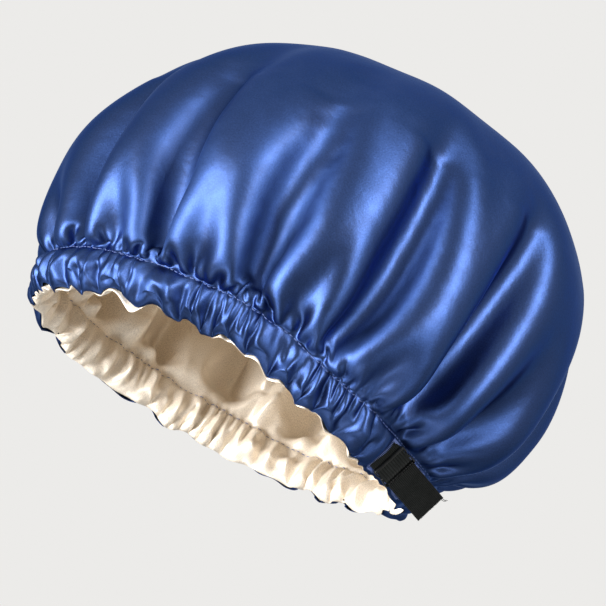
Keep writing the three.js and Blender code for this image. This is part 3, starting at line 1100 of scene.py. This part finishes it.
# The elastic from its end under the tail, round inside the casing, out of the slit and under the slider
def elastic_band(look):
    strip = [(strap_point(hidden_end, 0, 0), strap_up, strap_out)]
    for step in band_steps_shown:
        angle = step * full_turn / band_steps
        low = casing_point(middle, angle, band_low_climb)
        high = casing_point(middle, angle, band_high_climb)
        ahead = casing_point(middle, angle + band_probe, middle_climb)
        ahead = ahead - casing_point(middle, angle - band_probe, middle_climb)
        up = unit(high - low)
        strip.append(((low + high) / 2, up, unit(np.cross(ahead, up))))
    for at, (along, out) in enumerate(rise_places):
        before, after = rise_places[max(at - 1, 0)], rise_places[min(at + 1, len(rise_places) - 1)]
        slope = math.atan2(after[1] - before[1], after[0] - before[0])
        strip.append((strap_point(along, 0, out), strap_up, sloped_out(slope)))
    return ribbon("ribbed_elastic", strip, look, band_ribs)


# The elastic that comes up through the slider, over its middle bar and down again
def strap_turn(look):
    low = slider_low + elastic_thickness / 2
    high = slider_low + slider_thickness + slider_gap + elastic_thickness / 2
    strip = []
    for share in np.linspace(-1, 1, turn_steps + 1):
        sweep = share * quarter_turn
        slope = math.atan2((low - high) * quarter_turn * math.sin(sweep), turn_reach)
        place = strap_point(slider_place + share * turn_reach, 0, mix(low, high, math.cos(sweep)))
        strip.append((place, strap_up, sloped_out(slope)))
    return ribbon("elastic_turn", strip, look, turn_ribs)


# The free end beyond the slider, a little bowed
def strap_tail(look):
    strip = []
    for share in np.linspace(0, 1, tail_steps + 1):
        bow = tail_bow * math.sin(share * half_turn)
        strip.append((strap_point(mix(run_end, tail_end, share), 0, run_height + bow), strap_up, strap_out))
    return ribbon("elastic_tail", strip, look, tail_ribs)


# A closed outline with round corners, as points
def round_corners(corners, radius, steps=6):
    found = []
    for at, corner in enumerate(corners):
        corner = np.array(corner, float)
        before = unit(np.array(corners[at - 1]) - corner)
        after = unit(np.array(corners[(at + 1) % len(corners)]) - corner)
        start, end = corner + before * radius, corner + after * radius
        for share in np.linspace(0, 1, steps):
            found.append(mix(mix(start, corner, share), mix(corner, end, share), share))
    return found


# The slider's outline and its two windows, side by side, each drawn in by the bevel that rounds the edges
def slider_outlines():
    end, side = slider_length / 2 - slider_bevel, slider_width / 2 - slider_bevel
    waist, notch = slider_waist, slider_notch
    outline = [(-end, -side), (-notch, -side), (0, waist - side), (notch, -side), (end, -side),
               (end, side), (notch, side), (0, side - waist), (-notch, side), (-end, side)]
    window = (slider_length - 3 * slider_bar) / 2 + 2 * slider_bevel
    place = (window - 2 * slider_bevel + slider_bar) / 2
    reach = slider_width / 2 - slider_rail + slider_bevel
    outlines = [round_corners(outline, slider_corner)]
    for way in (-1, 1):
        low, high = way * place - window / 2, way * place + window / 2
        corners = [(low, -reach), (high, -reach), (high, reach), (low, reach)]
        outlines.append(round_corners(corners, window_corner))
    return outlines


def slider_mesh():
    curve = bpy.data.curves.new("slider", "CURVE")
    curve.dimensions = "2D"
    curve.fill_mode = "BOTH"
    curve.extrude = slider_thickness / 2 - slider_bevel
    curve.bevel_depth = slider_bevel
    curve.bevel_resolution = 3
    for outline in slider_outlines():
        spline = curve.splines.new("POLY")
        spline.points.add(len(outline) - 1)
        for point, (along, up) in zip(spline.points, outline):
            point.co = (along, up, 0, 1)
        spline.use_cyclic_u = True
    shaped = placed("slider_curve", curve)
    mesh = bpy.data.meshes.new_from_object(shaped)
    bpy.data.objects.remove(shaped)
    return mesh


# A row of small moulded teeth on the inner side of the slider's bar towards the tail
def add_grips(made):
    along = slider_place + slider_length / 2 - slider_bar
    reach = slider_width / 2 - slider_rail - 2 * grip_radius
    for up in np.linspace(-reach, reach, grip_count):
        place = strap_point(along, up, slider_low + slider_thickness)
        bmesh.ops.create_uvsphere(made, u_segments=10, v_segments=6, radius=grip_radius,
                                  matrix=Matrix.Translation(place))


# The slider: a moulded frame with rounded edges, a waist at its middle bar and a row of teeth
def slider(look):
    mesh = slider_mesh()
    obj = placed("moulded_slider", mesh)
    made = bmesh.new()
    made.from_mesh(mesh)
    bmesh.ops.remove_doubles(made, verts=made.verts, dist=weld_distance)
    turn = Matrix((strap_along, strap_up, strap_out)).transposed().to_4x4()
    place = strap_point(slider_place, 0, slider_low + slider_thickness / 2)
    made.transform(Matrix.Translation(place) @ turn)
    add_grips(made)
    bmesh.ops.recalc_face_normals(made, faces=made.faces)
    made.to_mesh(mesh)
    made.free()
    mesh.materials.clear()
    mesh.materials.append(look)
    shade_smooth(obj)
    return obj


# The points round a thread along a path, thinner at its ends
def thread_points(path, radius, sides):
    some_way = (0.31, 0.17, 0.93)
    last = len(path) - 1
    points = []
    for at, place in enumerate(path):
        ahead = unit(path[min(at + 1, last)] - path[max(at - 1, 0)])
        aside = unit(np.cross(ahead, some_way))
        over = np.cross(ahead, aside)
        thickness = thread_end_share if at in (0, last) else 1
        for side in range(sides):
            turn = side * full_turn / sides
            points.append(place + (aside * math.cos(turn) + over * math.sin(turn)) * radius * thickness)
    return points


def threads(name, paths, radius, look, sides=6):
    points, faces = [], []
    for path in paths:
        faces += [[corner + len(points) for corner in face] for face in tube_faces(len(path), sides)]
        points += thread_points(path, radius, sides)
    obj = mesh_object(name, points, faces, look)
    shade_smooth(obj)
    return obj


# The loose ends of the cut tail: many short ones and two long ones
def frayed_ends(look):
    chance = np.random.default_rng(fray_seed)
    paths = []
    for up in np.linspace(-fray_width_share, fray_width_share, fray_count) * strap_width:
        length = chance.uniform(*fray_lengths)
        out = run_height + chance.uniform(-fray_spread, fray_spread)
        end_up = up + chance.uniform(-fray_spread, fray_spread)
        paths.append([strap_point(tail_end - fray_root, up, out),
                      strap_point(tail_end + length * fray_bend_share, up, out),
                      strap_point(tail_end + length, end_up, out)])
    for up, length, rise in long_frays:
        path = []
        for share in np.linspace(0, 1, long_fray_points):
            out = run_height + long_fray_height + long_fray_bow * math.sin(long_fray_sweep * share)
            path.append(strap_point(tail_end - long_fray_root + length * share, up + rise * share ** 2, out))
        paths.append(path)
    return threads("frayed_ends", paths, fray_radius, look)


def cloth_points(cloth):
    found = np.zeros(len(cloth.data.vertices) * 3)
    cloth.data.vertices.foreach_get("co", found)
    return found.reshape(-1, 3)


def followed(place, lengths, line):
    return np.array([np.interp(place, lengths, line[:, axis]) for axis in range(3)])


# Running stitches along one face of the seam that closes the casing
def seam_paths(cloth, side):
    points = cloth_points(cloth)
    turns = np.arange(seam_steps + 1) * full_turn / seam_steps
    line = np.array([casing_point(points, angle, seam_climb) for angle in turns])
    outs = side * np.array([casing_point(normals, angle, seam_climb) for angle in turns])
    lengths = summed(np.linalg.norm(np.diff(line, axis=0), axis=1))
    count = round(lengths[-1] / stitch_spacing)
    paths = []
    for stitch in range(count):
        places = np.linspace(0, stitch_length, len(stitch_lift_shares)) + stitch * lengths[-1] / count
        paths.append([followed(place, lengths, line) + share * thread_radius * followed(place, lengths, outs)
                      for place, share in zip(places, stitch_lift_shares)])
    return paths


def casing_stitches(look):
    return threads("seam_stitches", seam_paths(outer, 1) + seam_paths(lining, -1), thread_radius, look)


# Close stitches over the slit's edge, each across it
def slit_binding(look):
    points = cloth_points(outer)
    up_reach = binding_reach / casing_height
    paths = []

    def over(across, climb, aside, upwards):
        path = []
        for share, lift_share in binding_shares:
            angle = math.atan2(across + aside * share, nape_distance)
            out = thread_radius * lift_share * strap_out
            path.append(casing_point(points, angle, climb + upwards * share) + out)
        paths.append(path)

    for across in np.arange(slit_low, slit_high, binding_spacing):
        over(across, band_low_climb, binding_slant, up_reach)
        over(across, band_high_climb, binding_slant, up_reach)
    for climb in np.arange(band_low_climb, band_high_climb, binding_spacing / casing_height):
        over(slit_low, climb, binding_reach, binding_climb_slant)
        over(slit_high, climb, binding_reach, binding_climb_slant)
    return threads("slit_binding", paths, thread_radius * binding_thread_share, look)


def seen_place(right, up, back):
    return view_right * right + view_up * up + view_back * back


def area_lamp(name, place, size, power):
    lamp = bpy.data.lights.new(name, "AREA")
    lamp.shape = "RECTANGLE"
    lamp.size, lamp.size_y = size
    lamp.energy = power
    obj = placed(name, lamp)
    obj.location = place
    obj.rotation_mode = "QUATERNION"
    obj.rotation_quaternion = (Vector(lamp_target) - Vector(place)).to_track_quat("-Z", "Y")


# The world is white to the camera and in reflections, and lights the cap at a plain level
def backdrop():
    world = bpy.data.worlds.new("world")
    bpy.context.scene.world = world
    world.use_nodes = True
    nodes, links = world.node_tree.nodes, world.node_tree.links
    path = nodes.new("ShaderNodeLightPath")
    seen = path.outputs["Is Camera Ray"]
    for kind in ("Is Glossy Ray", "Is Transmission Ray"):
        either = nodes.new("ShaderNodeMath")
        either.operation = "MAXIMUM"
        links.new(seen, either.inputs[0])
        links.new(path.outputs[kind], either.inputs[1])
        seen = either.outputs[0]
    strength = nodes.new("ShaderNodeMapRange")
    strength.inputs["To Min"].default_value = world_light
    strength.inputs["To Max"].default_value = 1
    ground = nodes["Background"]
    ground.inputs["Color"].default_value = (*backdrop_color, 1)
    links.new(seen, strength.inputs["Value"])
    links.new(strength.outputs["Result"], ground.inputs["Strength"])


def floor():
    corners = [(-floor_reach, -floor_reach, floor_level), (floor_reach, -floor_reach, floor_level),
               (floor_reach, floor_reach, floor_level), (-floor_reach, floor_reach, floor_level)]
    made, _ = material("floor", backdrop_color, roughness=0.9)
    obj = mesh_object("floor", corners, [[0, 1, 2, 3]], made)


def camera():
    data = bpy.data.cameras.new("camera")
    data.lens = data.sensor_width * camera_distance / view_width
    data.clip_end = camera_reach
    obj = placed("camera", data)
    turn = Matrix((view_right, view_up, view_back)).transposed().to_4x4()
    obj.matrix_world = Matrix.Translation(seen_place(*view_centre, camera_distance)) @ turn
    bpy.context.scene.camera = obj


black_elastic = woven_elastic()
black_plastic = moulded_plastic()
blue_thread = sewing_thread()

for piece, body, node, slot in (
        (elastic_band(black_elastic), "cap", "elastic_band", "black_elastic"),
        (strap_turn(black_elastic), "slider", "strap_turn", "black_elastic"),
        (strap_tail(black_elastic), "tail", "strap_tail", "black_elastic"),
        (slider(black_plastic), "slider", "slider", "black_plastic"),
        (casing_stitches(blue_thread), "cap", "casing_stitch", "blue_thread"),
        (slit_binding(blue_thread), "cap", "slit_stitch", "blue_thread")):
    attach(piece, body)
    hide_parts(node)
fray = frayed_ends(black_elastic)
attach(fray, "tail")

backdrop()
for name, place, size, power in lamps:
    area_lamp(name, seen_place(*place), size, power)
floor()
camera()
bpy.context.scene.view_settings.view_transform = "Standard"
